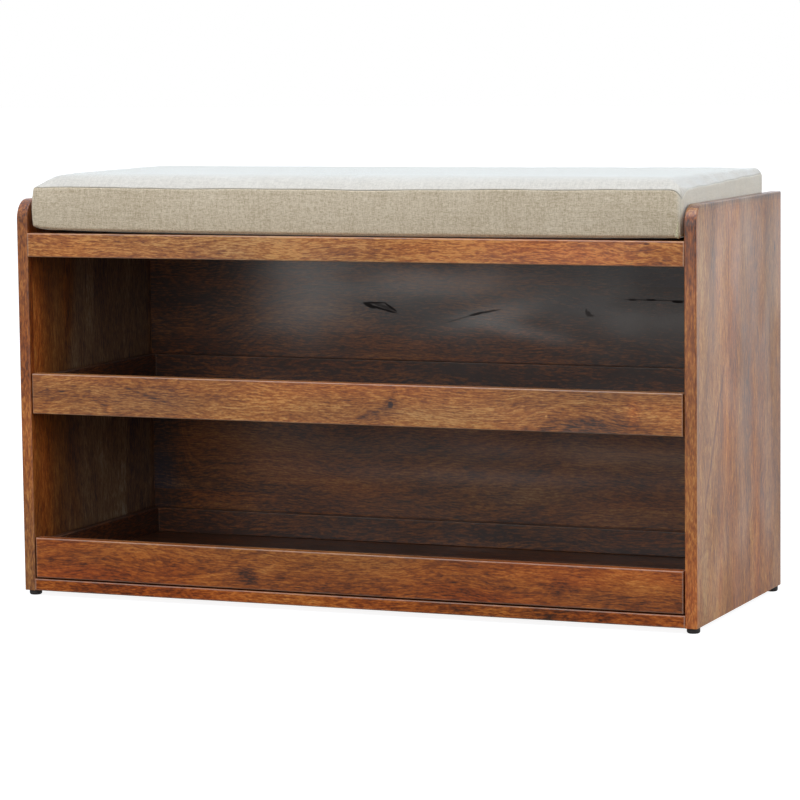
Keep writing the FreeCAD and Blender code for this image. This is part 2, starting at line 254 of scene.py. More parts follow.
# From red to grey.
TINTS = [
    (0.00, (1.22, 0.70, 0.45)),
    (0.26, (1.12, 0.90, 0.66)),
    (0.50, (1.00, 1.00, 1.00)),
    (0.76, (0.84, 1.04, 1.45)),
    (1.00, (0.84, 1.56, 4.20)),
]
RING_SPACING = 7.5 * MM
SIDE_CORNER = 25 * MM

# How many features each layer of the wood has in a metre: along the grain, across it and through it.
WANDER = (2.4, 6.0, 6.0)
SWAY = (8.0, 16.0, 16.0)
RIPPLE = (45.0, 90.0, 90.0)
PATCH = (6.0, 22.0, 12.0)
FLAME = (22.0, 170.0, 60.0)
DASH = (85.0, 520.0, 400.0)
FIBRE = (40.0, 850.0, 850.0)
SPECK = (230.0, 760.0, 760.0)
GRIT = (150.0, 640.0, 640.0)
RUB = (30.0, 60.0, 60.0)
CLOUD = (7.0, 15.0, 15.0)

# How fast a mark fades outward, and how closely its own growth rings follow each other.
MARK_FADE = 0.9
MARK_RINGS = 17.0


def edge_distance(shader, point, low, high, corner):
    """How far a point on the surface is from the board's nearest edge. Corner rounds the front top one."""
    x, y, z = (
        shader.least(place - low[i], high[i] - place) for i, place in enumerate(point)
    )
    if not corner:
        return shader.most(shader.least(x, y), shader.least(shader.most(x, y), z))
    inward = shader.most((low[1] + corner) - point[1], 0.0)
    upward = shader.most(point[2] - (high[2] - corner), 0.0)
    reach = shader.math("SQRT", inward * inward + upward * upward)
    return shader.most(x, shader.least(y, z, corner - reach))


def farness(along, across, mark):
    """The square of the distance from a mark, in its own size."""
    run = along - mark.along
    side = across - mark.across - run * mark.lean
    return run * run * (1 / mark.long**2) + side * side * (1 / mark.tall**2)


def nearness(shader, far):
    """1 in the middle of a mark, fading to 0 round it."""
    return shader.math("EXPONENT", far * -MARK_FADE)


def wood(name, timber, corner=0.0):
    """Satin stained hardwood with the figure of a board sawn from a log."""
    shader = Shader(name, specular_ior_level=0.5, coat_roughness=0.22)
    low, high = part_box(name)
    point = shader.point()
    order = [AXES.index(axis) for axis in timber.grain]
    along, across, through = (point[i] for i in order)
    middle = [(low[i] + high[i]) / 2 for i in order]
    seed = timber.seed * 7.31

    board = 0.0
    if timber.staves:
        board = shader.chance(shader.math("FLOOR", across / timber.staves) + seed)
    drift = along + board * 3.0 + seed

    def layer(rate, run, side, shift=seed, **style):
        """Noise with that many features in a metre. Shift tells one board from another."""
        return shader.noise(run * rate[0], side * rate[1], through * rate[2] + shift, **style)

    # The fibres wander, so that streaks run at a slant in one place and straight in another.
    wander = layer(WANDER, drift, across) - 0.5
    sway = layer(SWAY, drift, across, detail=1.0) - 0.5
    ripple = layer(RIPPLE, drift, across, detail=1.0) - 0.5
    aside = across + wander * 0.040 + sway * 0.022 + ripple * 0.0018

    # Figures bend the rings round themselves and darken or lighten the wood. Some marks are painted light
    # instead of figures, and lighten or grey the wood where light falls.
    smoke_and_painted_light, swell, warmth_and_painted_light = 0.0, 0.0, -timber.cool
    core = shader.constant(0.0)
    for mark in timber.marks:
        far = farness(along, across, mark)
        near = nearness(shader, far)
        smoke_and_painted_light = smoke_and_painted_light + near * mark.dark
        swell = swell + near * (mark.tall * 0.9)
        warmth_and_painted_light = warmth_and_painted_light + near * mark.warm
        if mark.rings:
            turn = shader.math("SQRT", far) * MARK_RINGS + ripple * 1.2 + sway * 3.0
            growth = shader.math("SINE", turn)
            smoke_and_painted_light = smoke_and_painted_light + growth * near * mark.rings
        if mark.core:
            core = shader.most(core, shader.rise(far + ripple * 1.6, 1.2, 0.6) * mark.core)

    # The log: distance from its centre, in rings.
    off = aside - (middle[1] + timber.pith[0])
    if timber.staves:
        off = off + (board - 0.5) * 0.10
    depth = through - (middle[2] + timber.pith[1]) + (along - middle[0]) * timber.slope
    ring = (shader.math("SQRT", off * off + depth * depth) + swell) / RING_SPACING
    line = shader.math("FRACT", ring + ripple * 0.35)
    late = shader.rise(line, 0.40, 0.95) * shader.rise(line, 1.0, 0.95)

    # Colour bands follow the rings. Patches, flames, dashes, fibres, specks and pores do not.
    bands = shader.noise(ring * 0.50, drift * 2.0, seed, detail=3.0)
    patch = layer(PATCH, drift, across)
    flame = layer(FLAME, drift, aside, detail=1.0)
    dash = layer(DASH, drift, aside, detail=1.0)
    dash = shader.rise(dash, 0.34, 0.66)
    fibre = layer(FIBRE, drift, aside, 0.0, roughness=0.7)
    speck = layer(SPECK, drift, aside, detail=1.0)
    grit = shader.cells(drift * GRIT[0], aside * GRIT[1], through * GRIT[2])
    pore = shader.rise(grit, 0.36, 0.12)
    hue = shader.noise(drift * 3.1, across * 17.0, seed + 40.0, detail=3.0)

    tone = (
        0.5
        + timber.shade
        + (bands - 0.5) * 0.50
        + (patch - 0.5) * 0.70
        + (flame - 0.5) * 0.26
        + (dash - 0.5) * (0.30 * timber.texture)
        + (fibre - 0.5) * (0.76 * timber.texture)
        + (speck - 0.5) * (0.54 * timber.texture)
        - late * 0.08
        - smoke_and_painted_light
    )
    if timber.staves:
        tone = tone + (board - 0.5) * 0.14
    stain = shader.ramp(
        tone,
        [(0.05, DARK_STREAK), (0.27, RED_BROWN), (0.50, BROWN), (0.73, ORANGE), (0.97, GOLD)],
    )
    tint = shader.ramp(hue - warmth_and_painted_light, TINTS)
    stain = shader.mix(1.0, stain, tint, "MULTIPLY")
    stain = shader.mix(pore * 0.40, stain, DARK_STREAK)
    stain = shader.mix(core, stain, KNOT)
    # Lighter edges: partly rubbed wear, partly a painted highlight where the eased edges catch the light.
    rub = layer(RUB, along, across, detail=3.0)
    edge = edge_distance(shader, point, low, high, corner)
    edge_wear_and_highlight = shader.rise(edge + (rub - 0.5) * 2.4 * MM, 2.0 * MM, 0.2 * MM) * rub
    stain = shader.mix(edge_wear_and_highlight * timber.wear, stain, WEAR_AND_HIGHLIGHT)
    shader.set("Base Color", stain)

    cloud = layer(CLOUD, along, across, seed + 9.0)
    shine = shader.constant(0.0)
    for sheen in timber.sheens:
        near = nearness(shader, farness(along, across, sheen))
        shine = shine + near * (0.2 + cloud * 1.2) * sheen.amount
    sound = 1.0 - core
    rough = 0.42 + (fibre - 0.5) * 0.16 + (patch - 0.5) * 0.14 - edge_wear_and_highlight * 0.05
    shader.set("Roughness", rough - shine * 0.12 + core * 0.4)
    specular = 0.5 + min(timber.gloss, 0.0)
    if timber.sheens:
        specular = (shine * 0.45 + specular) * sound
    shader.set("Specular IOR Level", specular)
    lacquer = shader.rise(cloud, 0.30, 0.66) * 0.40 + timber.gloss + shine
    shader.set("Coat Weight", shader.most(shader.least(lacquer, 1.0), 0.0) * sound)
    relief = fibre * 0.4 + dash * 0.2 + speck * 0.3 - pore * 0.6 - late * 0.10 - core * 0.3
    shader.bump(relief, (0.05 if timber.staves else 0.09) * MM)
    return shader.material


TIMBERS = {
    "left_side_panel": Timber(
        "ZYX",
        1,
        shade=-0.12,
        cool=0.08,
        wear=0.2,
        staves=0.082,
        pith=(0.01, -0.09),
        marks=(
            Mark(0.25, -0.177, 0.6, 0.01, -0.16),
            # Painted light: the front of the inner face, where light comes in through the opening, is
            # lighter and redder.
            Mark(0.36, -0.15, 0.11, 0.026, -0.22, warm=0.55),
            Mark(0.15, -0.145, 0.09, 0.026, -0.16, warm=0.4),
            Mark(0.37, -0.08, 0.05, 0.012, -0.12, warm=0.3),
            # Painted light: the rear of the inner face is lighter and greyer, a painted haze.
            Mark(0.25, 0.04, 0.6, 0.11, -0.22, warm=-0.85),
        ),
    ),
    "right_side_panel": Timber(
        "ZYX",
        2,
        shade=0.13,
        cool=-0.03,
        wear=0.1,
        texture=0.9,
        staves=0.082,
        pith=(-0.02, -0.09),
        marks=(
            Mark(0.47, -0.11, 0.06, 0.011, 0.26, warm=-0.12),
            Mark(0.274, -0.082, 0.06, 0.0032, 0.3, lean=0.47),
            Mark(0.183, -0.126, 0.05, 0.0032, 0.3, lean=0.47),
            Mark(0.438, 0.1466, 0.009, 0.002, 0.6),
            Mark(0.27, -0.056, 0.11, 0.006, -0.22, warm=0.06),
            Mark(0.05, -0.12, 0.05, 0.05, -0.2, warm=0.14),
            Mark(0.049, 0.105, 0.04, 0.03, -0.14, warm=0.05),
            Mark(0.28, 0.032, 0.09, 0.022, 0.16, warm=-0.06),
            Mark(0.4, -0.085, 0.07, 0.01, -0.16, warm=0.04),
            Mark(0.43, -0.155, 0.08, 0.014, -0.14),
            Mark(0.38, 0.11, 0.06, 0.012, -0.1),
            Mark(0.42, 0.06, 0.09, 0.018, 0.12, warm=-0.1),
            Mark(0.26, -0.178, 0.6, 0.006, 0.02, warm=0.34),
            Mark(0.48, -0.178, 0.07, 0.007, 0.54),
            Mark(0.25, -0.11, 0.5, 0.05, -0.07),
            Mark(0.25, 0.11, 0.5, 0.07, 0.04, warm=-0.1),
            Mark(0.507, 0.0, 0.006, 0.3, 0.22, warm=-0.4),
        ),
        sheens=(Sheen(0.45, 0.0, 0.09, 0.15, 0.3),),
    ),
    "bottom_panel": Timber(
        "XYZ",
        3,
        shade=-0.03,
        cool=-0.30,
        gloss=-0.30,
        marks=(Mark(0.3, -0.175, 0.06, 0.02, 0.16), Mark(-0.1, -0.175, 0.12, 0.02, -0.1)),
    ),
    "seat_board": Timber("XYZ", 4, shade=-0.10),
    "seat_front_rail": Timber(
        "XZY",
        5,
        shade=0.19,
        cool=-0.03,
        pith=(0.03, 0.10),
        gloss=-0.06,
        texture=1.25,
        marks=(
            Mark(0.389, 0.4607, 0.004, 0.0015, 0.3, core=0.6),
            Mark(0.33, 0.449, 0.16, 0.03, -0.11, warm=0.26),
            Mark(-0.02, 0.449, 0.18, 0.03, -0.07),
        ),
    ),
    "back_panel": Timber(
        "XZY",
        6,
        shade=-0.18,
        cool=0.10,
        staves=0.096,
        gloss=0.15,
        texture=0.9,
        marks=(
            # A feather-shaped knot: two dark lines that meet at both ends, and a dark head.
            Mark(-0.104, 0.3565, 0.02, 0.0012, 0.2, lean=0.02, core=0.85),
            Mark(-0.0815, 0.3515, 0.009, 0.0016, 0.2, lean=-0.62, core=0.9),
            Mark(-0.098, 0.3497, 0.026, 0.0016, 0.2, lean=-0.25, core=0.9),
            Mark(-0.112, 0.353, 0.01, 0.003, 0.2, lean=-0.35, core=0.9),
            Mark(-0.093, 0.3525, 0.014, 0.0024, 0.3, lean=-0.32, core=0.45),
            Mark(-0.09, 0.351, 0.06, 0.014, 0.08),
            # A split that opens in its middle.
            Mark(0.018, 0.338, 0.024, 0.0009, 0.2, lean=0.29, core=0.35),
            Mark(0.04, 0.3443, 0.01, 0.0016, 0.2, lean=0.25, core=0.8),
            Mark(0.058, 0.348, 0.018, 0.0011, 0.2, lean=0.2, core=0.7),
            # A small curled knot.
            Mark(0.1958, 0.3482, 0.004, 0.0034, 0.3, core=0.45),
            Mark(0.193, 0.35, 0.0018, 0.0048, 0.2, core=0.5),
            Mark(0.1985, 0.3457, 0.006, 0.0018, 0.2, core=0.5),
            Mark(0.197, 0.35, 0.014, 0.01, 0.1),
            # Dark dashes along a glue line.
            Mark(0.2554, 0.3671, 0.006, 0.0013, 0.2, core=0.7),
            Mark(0.281, 0.3673, 0.008, 0.0015, 0.2, core=0.85),
            Mark(0.316, 0.3657, 0.008, 0.0018, 0.2, core=0.9),
            Mark(0.285, 0.3672, 0.05, 0.0008, 0.2, core=0.4),
            # Darker to the left, and most of all to the right. Greyer above the upper tray, where the grey
            # is a painted reflection of the pale room in front.
            Mark(-0.37, 0.36, 0.08, 0.1, 0.1),
            Mark(0.0, 0.38, 0.5, 0.07, 0.02, warm=-0.16),
            Mark(0.36, 0.36, 0.18, 0.08, 0.32, warm=-0.1),
            Mark(0.25, 0.15, 0.26, 0.08, -0.09, warm=0.04),
            Mark(-0.425, 0.15, 0.026, 0.12, 0.34, warm=-0.3),
        ),
        sheens=(
            Sheen(-0.2, 0.37, 0.05, 0.062, 1.2),
            Sheen(-0.04, 0.385, 0.1, 0.022, 1.0),
            Sheen(0.06, 0.34, 0.06, 0.014, 0.9, lean=0.2),
            Sheen(0.11, 0.322, 0.06, 0.01, 0.9, lean=-0.2),
            Sheen(0.24, 0.345, 0.08, 0.026, 0.55),
            Sheen(0.37, 0.345, 0.08, 0.03, 0.45),
            Sheen(0.1, 0.13, 0.25, 0.01, 0.5),
            Sheen(0.25, 0.165, 0.2, 0.012, 0.5),
        ),
    ),
    "upper_tray_front_rail": Timber(
        "XZY",
        7,
        shade=0.12,
        cool=-0.03,
        marks=(
            # The knot, and the smear that runs down to the left of it.
            Mark(0.0612, 0.261, 0.0036, 0.004, 0.25, core=0.65),
            Mark(0.0612, 0.2625, 0.009, 0.0105, 0.16, warm=-0.08),
            Mark(0.044, 0.251, 0.022, 0.006, 0.17, lean=0.41, warm=-0.1),
            Mark(0.065, 0.275, 0.0045, 0.007, 0.2),
            # The left end: pin holes, an arch, a slanting line and an orange spot.
            Mark(-0.4112, 0.2665, 0.0025, 0.0011, 0.5),
            Mark(-0.3904, 0.2644, 0.0055, 0.0012, 0.5),
            Mark(-0.372, 0.238, 0.056, 0.026, 0.12, warm=-0.08, rings=0.1),
            Mark(-0.279, 0.265, 0.03, 0.0016, 0.28, lean=-0.3),
            Mark(-0.3232, 0.2437, 0.0035, 0.0035, -0.3, warm=0.25),
            # The right end: growth rings over a dark heart, a red streak and a golden patch.
            Mark(0.3155, 0.229, 0.066, 0.044, 0.35, warm=-0.22, rings=0.12),
            Mark(0.3718, 0.26, 0.007, 0.017, -0.08, warm=0.25),
            Mark(0.375, 0.246, 0.005, 0.004, 0.26),
            Mark(0.415, 0.254, 0.026, 0.018, -0.12),
            Mark(0.2625, 0.2537, 0.0013, 0.0013, -0.6),
        ),
    ),
    "lower_tray_front_rail": Timber(
        "XZY",
        8,
        shade=-0.02,
        cool=-0.20,
        gloss=-0.18,
        texture=0.85,
        marks=(
            Mark(-0.1365, 0.042, 0.014, 0.012, 0.3),
            Mark(-0.02, 0.045, 0.12, 0.04, 0.09),
            Mark(-0.185, 0.036, 0.05, 0.006, -0.16, lean=0.12),
            Mark(0.385, 0.055, 0.04, 0.013, -0.26),
            Mark(0.279, 0.045, 0.012, 0.01, 0.25),
            Mark(-0.36, 0.05, 0.1, 0.03, 0.09),
        ),
    ),
}
for tray, first in (("upper_tray", 10), ("lower_tray", 20)):
    for count, part in enumerate(("left_side", "right_side", "left_runner", "right_runner")):
        TIMBERS[f"{tray}_{part}"] = Timber("YZX", first + count, shade=-0.34, cool=0.10, wear=0.25)
    TIMBERS[f"{tray}_back"] = Timber("XZY", first + 4, shade=-0.32, cool=0.12, wear=0.3)
    TIMBERS[f"{tray}_floor"] = Timber("XYZ", first + 5, shade=-0.28, cool=0.05)


def dowel_wood():
    shader = Shader("dowel_wood", roughness=0.6)
    fibre = shader.grain(300.0, detail=3.0)
    shader.colour(fibre, (0.3, (0.42, 0.28, 0.15)), (0.7, (0.62, 0.45, 0.27)))
    shader.bump(fibre, 0.05 * MM)
    return shader.material


def zinc_steel():
    shader = Shader("zinc_steel", metallic=1.0)
    spangle = shader.crystals(900.0)
    shader.colour(spangle, (0.2, (0.50, 0.51, 0.50)), (0.8, (0.66, 0.66, 0.63)))
    shader.set("Roughness", 0.28 + spangle * 0.15)
    return shader.material


def black_plastic():
    shader = Shader("black_plastic")
    grain = shader.grain(1400.0)
    dust = shader.grain(90.0, detail=4.0)
    clean, dusty = (0.020, 0.018, 0.017), (0.060, 0.052, 0.047)
    shader.colour(dust, (0.35, clean), (0.75, dusty))
    shader.set("Roughness", 0.42 + dust * 0.25)
    shader.bump(grain, 0.05 * MM)
    return shader.material


# ---------------------------------------------------------------- cushion


WEAVE = "Weave"
SEAM = "Seam"
THREAD = 0.9 * MM

# How many there are in a metre, across and along the threads: slubs, and bands of thicker threads.
SLUB = (850.0, 170.0)
BAND = (260.0, 30.0)


def linen(name, painted_light=0.0, pale=(0.86, 0.82, 0.70)):
    """Plain-woven linen with slubs, from each panel's sheet coordinates. It puckers at a seam, and is
    darkened there by painted shade.

    How far the panel is painted pale is a share from 0 to 1: painted light, for the brightness of a top lit
    from above. Above the side panels, the right side is always painted pale, as painted light from the
    right.
    """
    shader = Shader(name, roughness=0.8, specular_ior_level=0.3, sheen_weight=0.9, sheen_roughness=0.35)
    u, v = shader.sheet_point(WEAVE)
    from_seam, run = shader.sheet_point(SEAM)
    warp, weft = u / THREAD, v / THREAD
    warp_wave = shader.math("SINE", warp * math.pi)
    weft_wave = shader.math("SINE", weft * math.pi)
    over = warp_wave * weft_wave * 0.5 + 0.5
    ridge = shader.math("ABSOLUTE", warp_wave)
    rung = shader.math("ABSOLUTE", weft_wave)
    height = shader.most(ridge * over, rung * (1.0 - over))
    warp_slub = shader.noise(u * SLUB[0], v * SLUB[1], 3.0, roughness=0.6)
    weft_slub = shader.noise(u * SLUB[1], v * SLUB[0], 7.0, roughness=0.6)
    slub = shader.most(warp_slub, weft_slub)
    fleck = shader.noise(u * 620.0, v * 620.0, 5.0, roughness=0.7)
    cloud = shader.noise(u * 9.0, v * 9.0, 1.0, detail=3.0)
    warp_band = shader.noise(u * BAND[0], v * BAND[1], 11.0, detail=1.0)
    weft_band = shader.noise(u * BAND[1], v * BAND[0], 13.0, detail=1.0)
    tone = (
        0.5
        + (warp_slub - 0.5) * 0.95
        + (weft_slub - 0.5) * 1.15
        + (fleck - 0.5) * 0.90
        + (warp_band + weft_band - 1.0) * 0.38
        + (cloud - 0.5) * 0.30
        + (height - 0.6) * 0.50
    )
    dark, plain, light = (0.45, 0.345, 0.210), (0.68, 0.55, 0.375), (0.82, 0.70, 0.52)
    colour = shader.ramp(tone, [(0.1, dark), (0.5, plain), (0.9, light)])
    x, _, z = shader.point()
    # Painted light: the top panel's share, and the right side above the side panels, are mixed towards the
    # pale colour where light falls on them; low down the right side is left unpainted, in shade.
    right = shader.rise(x, cover_high.x - 9 * MM, cover_high.x - 3 * MM)
    painted_side_light = right * shader.rise(z, SEAT + 14 * MM, SEAT + 40 * MM) * 0.50
    colour = shader.mix(shader.most(painted_side_light, painted_light), colour, pale)
    # Painted shade: the cover is darkened in the crease along each seam.
    painted_seam_shade = shader.rise(from_seam, 1.1 * MM, 0.3 * MM)
    shader.set("Base Color", shader.mix(painted_seam_shade * 0.24, colour, (0.24, 0.20, 0.13)))
    shader.set("Sheen Tint", (0.91, 0.97, 0.97, 1.0))
    pucker = shader.noise(run * 150.0, from_seam * 60.0, 2.0, detail=1.0)
    pucker = pucker * shader.rise(from_seam, 9.0 * MM, 0.0)
    shader.bump(height * 0.5 + slub * 0.8 + pucker * 2.5, 0.18 * MM)
    return shader.material


def foam():
    shader = Shader("foam", roughness=0.95)
    cell = shader.crystals(500.0)
    shader.colour(cell, (0.1, (0.45, 0.37, 0.20)), (0.7, (0.78, 0.70, 0.45)))
    shader.bump(cell, 0.4 * MM)
    return shader.material


cover_low, cover_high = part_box("cushion_boxing")
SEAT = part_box("cushion_bottom_panel")[0].z
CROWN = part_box("cushion_top_panel")[1].z
CENTRE = (cover_low + cover_high) / 2
HALF_X = (cover_high.x - cover_low.x) / 2
HALF_Y = (cover_high.y - cover_low.y) / 2
SEAM_BOTTOM = SEAT + 2.4 * MM
SEAM_TOP = cover_high.z + 0.5 * MM
BOXING_HEIGHT = SEAM_TOP - SEAM_BOTTOM
CORNER_LEFT = 4 * MM
CORNER_RIGHT = 5 * MM
FABRIC = 1.2 * MM
FOAM_GAP = 2.0 * MM
GROOVE = 0.8 * MM
UNDERCUT = 2.2 * MM
FLAT_GROOVE = 0.3 * MM

# The mesh of the cover: rows near the outline, even cells inside, and levels up the boxing.
CELL = 6.5 * MM
EDGE_ROWS = [0.0, 1.2 * MM, 2.4 * MM, 3.8 * MM, 5.4 * MM, 7.2 * MM, 9.5 * MM]
EDGE_BAND = 12.5 * MM
LEVELS = [0.0, 0.025, 0.07, 0.16, 0.30, 0.46, 0.62, 0.76, 0.87, 0.94, 0.975, 1.0]
TOP = len(LEVELS) - 1
TINY = 1e-6

# The boxing's front part ends short of the right corner. Its seam turns down there, to the seat.
CORNER_SEAM_X = HALF_X - EDGE_ROWS[1]
TURN = 15 * MM
FOLD = 40 * MM
NO_SEAM = 30 * MM

# The seam along the right side is pressed flat, so that its pucker and painted shade hardly show.
FLAT_SEAM = 0.75 * MM


def spaced(half):
    """Even places from -half to half, with extra ones near both ends."""
    count = round(2 * (half - EDGE_BAND) / CELL)
    ends = [half - row for row in EDGE_ROWS]
    middle = np.linspace(EDGE_BAND - half, half - EDGE_BAND, count + 1)
    return [-end for end in ends] + list(middle) + ends[::-1]


def inset(x, y):
    """How far a place on the flat panel is from its outline."""
    return min(HALF_X - abs(x), HALF_Y - abs(y))


def corner_part(x, y):
    """The corner radius at a place on the flat panel, and how far the place is into that corner."""
    corner = CORNER_RIGHT if x > 0 else CORNER_LEFT
    return corner, max(abs(x) - (HALF_X - corner), 0.0), max(abs(y) - (HALF_Y - corner), 0.0)


def rounded(x, y):
    """Moves the corners of the flat panel's square outline onto an arc."""
    corner, over_x, over_y = corner_part(x, y)
    reach = math.hypot(over_x, over_y)
    share = max(over_x, over_y) / reach if reach else 1.0
    return (
        math.copysign(min(abs(x), HALF_X - corner) + over_x * share, x),
        math.copysign(min(abs(y), HALF_Y - corner) + over_y * share, y),
    )


def outward(x, y):
    """The level direction that leads away from the cushion at a place on its outline."""
    _, over_x, over_y = corner_part(x, y)
    return Vector((math.copysign(over_x, x), math.copysign(over_y, y), 0)).normalized()


def waviness(x, y, length, phase):
    """A slow wave of size 1 over the cushion."""
    long = math.sin(x / length + phase) * math.cos(y / length * 1.3 + 2 * phase)
    short = math.sin((x + 2.1 * y) / length * 2.3 + 3 * phase)
    return 0.6 * long + 0.4 * short


def seam_height(x, y):
    """The top seam wanders, and climbs to the rear on the right."""
    back = (y / HALF_Y + 1) / 2
    side = x / HALF_X
    climb = (1.2 * side + (3.0 + 3.0 * side) * back) * MM
    turned = min(max((x - CORNER_SEAM_X) / TURN + 1, 0), 1)
    drop = TURN * (1 - math.sqrt(1 - turned**2)) * math.exp(-(y + HALF_Y) / (12 * MM))
    return SEAM_TOP + climb - drop + 0.8 * MM * waviness(x, y, 0.045, 0.7)


def corner_share(x, y, reach):
    """1 at the cushion's four vertical corners, fading over reach."""
    return math.exp(-math.hypot(HALF_X - abs(x), HALF_Y - abs(y)) / reach)


def crown_share(x, y, from_edge):
    """How far the top has risen from its seam to its crown: softly in front, steeply at the rear right."""
    back = (y / HALF_Y + 1) / 2
    side = (x / HALF_X + 1) / 2
    ratio = from_edge / ((17 - 12 * back * side) * MM)
    from_front = HALF_Y - abs(y)
    sharpness = 3 + 5 * from_front / (from_front + HALF_X - abs(x) + TINY)
    chamfer = ratio / (1 + ratio**sharpness) ** (1 / sharpness)
    return 0.88 * chamfer + 0.12 * (1 - math.exp(-from_edge / (50 * MM)))


def boxing_offset(x, y, level):
    """How far the boxing stands out past its outline: foam fills it, the seams and corners draw it in."""
    full = math.sin(math.pi * level)
    out_x = 0.0
    if x < TINY - HALF_X:
        # 4 mm out at the seat, 2.5 mm at the top seam and more between them.
        out_x = (1.5 * level**2 - 2.0 * full - 4.0) * MM
    if is_right(x):
        out_x = 0.6 * MM * full - 5.0 * MM * (1 - level) ** 2 * corner_share(x, y, 60 * MM)
    out_y = -1.2 * MM * full if y < TINY - HALF_Y else 0.0
    return out_x, out_y


def cover_point(x, y, k):
    """Where a place on the flat panel comes to lie at level k, before the cover is filled."""
    from_edge = inset(x, y)
    real_x, real_y = rounded(x, y)
    low = SEAM_BOTTOM
    if x < 0:
        low += (2.8 * corner_share(x, y, 12 * MM) + 1.4 * corner_share(x, y, 60 * MM)) * MM
    top = seam_height(real_x, real_y)
    if k == 0:
        z = low - (low - SEAT) * (1 - math.exp(-from_edge / (20 * MM)))
    elif k == TOP:
        z = top + (CROWN - top) * crown_share(x, y, from_edge)
    else:
        z = low + (top - low) * LEVELS[k]
    if from_edge < TINY:
        out_x, out_y = boxing_offset(x, y, LEVELS[k])
        real_x, real_y = real_x + out_x, real_y + out_y
    return real_x + CENTRE.x, real_y + CENTRE.y, z


def is_folded(x, y):
    """True round the front right corner, where the top folds down over the boxing without a seam."""
    return x > CORNER_SEAM_X + TINY and y < FOLD - HALF_Y


def is_right(x):
    """True on the cushion's right side."""
    return x > HALF_X - TINY


def groove(x, y, k):
    """How far the seams draw a point of the cover in."""
    level_seam = k == 0 or (k == TOP and not is_folded(x, y))
    corner_seam = y < 0 and abs(x - CORNER_SEAM_X) < TINY
    if inset(x, y) > TINY or not (level_seam or corner_seam):
        return 0.0, 0.0, 0.0
    depth = FLAT_GROOVE if is_right(x) else GROOVE
    return tuple(outward(x, y) * -(UNDERCUT if k == 0 else depth))


def panel_seam(x, y):
    """Seam coordinates on the top or bottom panel: how far the nearest seam is, and a length along it."""
    return (NO_SEAM if is_folded(x, y) else inset(x, y) + FLAT_SEAM * is_right(x)), x + y


def boxing_seam(x, y, k, run):
    """Seam coordinates on the boxing, at a run along it from the front left corner."""
    above = NO_SEAM if is_folded(x, y) else (1 - LEVELS[k]) * BOXING_HEIGHT + FLAT_SEAM * is_right(x)
    beside = abs(run - HALF_X - CORNER_SEAM_X)
    return min(above, beside), run


# A face of the cover: its panel, the numbers of its points, and its corners' weave and seam coordinates.
Face = namedtuple("Face", "panel corners weave seam")


def cover_mesh():
    """The closed cover as quads: its points, how far seams draw each one in, and its faces."""
    xs, ys = spaced(HALF_X), spaced(HALF_Y)
    numbers, points, draws, faces = {}, [], [], []

    def number(x, y, k):
        if (x, y, k) not in numbers:
            numbers[x, y, k] = len(points)
            points.append(cover_point(x, y, k))
            draws.append(groove(x, y, k))
        return numbers[x, y, k]

    for x, next_x in zip(xs, xs[1:]):
        for y, next_y in zip(ys, ys[1:]):
            square = [(x, y), (next_x, y), (next_x, next_y), (x, next_y)]
            for panel, k, around in (("top", TOP, square), ("bottom", 0, square[::-1])):
                corners = [number(*place, k) for place in around]
                faces.append(Face(panel, corners, around, [panel_seam(*place) for place in around]))

    outline = [(x, ys[0]) for x in xs[:-1]] + [(xs[-1], y) for y in ys[:-1]]
    outline += [(x, ys[-1]) for x in xs[:0:-1]] + [(xs[0], y) for y in ys[:0:-1]]
    run = 0.0
    for here, there in zip(outline, outline[1:] + outline[:1]):
        onward = run + math.dist(here, there)
        for k in range(TOP):
            around = [(here, k, run), (there, k, onward), (there, k + 1, onward), (here, k + 1, run)]
            corners = [number(*place, level) for place, level, _ in around]
            weave = [(along, LEVELS[level] * BOXING_HEIGHT) for _, level, along in around]
            seam = [boxing_seam(*place, level, along) for place, level, along in around]
            faces.append(Face("boxing", corners, weave, seam))
        run = onward
    return np.array(points), np.array(draws), faces


def add_object(name, data):
    item = bpy.data.objects.new(name, data)
    bpy.context.scene.collection.objects.link(item)
    return item


def make_mesh(name, points, faces):
    mesh = bpy.data.meshes.new(name)
    mesh.from_pydata([tuple(point) for point in points], [], faces)
    mesh.update()
    return add_object(name, mesh)


FRAMES = 20
MOST_PUSH = 2.2 * MM
CLOTH = {
    "quality": 5,
    "mass": 0.3,
    "tension_stiffness": 30,
    "compression_stiffness": 30,
    "shear_stiffness": 8,
    "bending_stiffness": 0.8,
    "air_damping": 3,
    "use_pressure": True,
    "uniform_pressure_force": 4,
    "vertex_group_mass": "hold",
    "vertex_group_shrink": "shrink",
    "shrink_min": 0.0,
    "shrink_max": 0.03,
}


def inflate(points, draws, faces):
    """Cloth simulation: foam presses the cover out, and its seams hold it back."""
    item = make_mesh("cushion_draft", points, [face.corners for face in faces])
    hold = item.vertex_groups.new(name="hold")
    shrink = item.vertex_groups.new(name="shrink")
    for vertex, draw in zip(item.data.vertices, draws):
        hold.add([vertex.index], float(vertex.co.z < SEAT + 0.5 * MM), "REPLACE")
        shrink.add([vertex.index], float(draw.any()), "REPLACE")
    cloth = item.modifiers.new("cloth", "CLOTH")
    for key, value in CLOTH.items():
        setattr(cloth.settings, key, value)
    cloth.settings.effector_weights.gravity = 0
    cloth.collision_settings.use_collision = False
    cloth.collision_settings.use_self_collision = False
    cloth.point_cache.frame_start = 1
    cloth.point_cache.frame_end = FRAMES
    for number in range(1, FRAMES + 1):
        bpy.context.scene.frame_set(number)
    graph = bpy.context.evaluated_depsgraph_get()
    solved = item.evaluated_get(graph)
    moved = np.array([vertex.co for vertex in solved.to_mesh().vertices], float)
    solved.to_mesh_clear()
    bpy.data.objects.remove(item)
    bpy.context.scene.frame_set(1)
    return moved


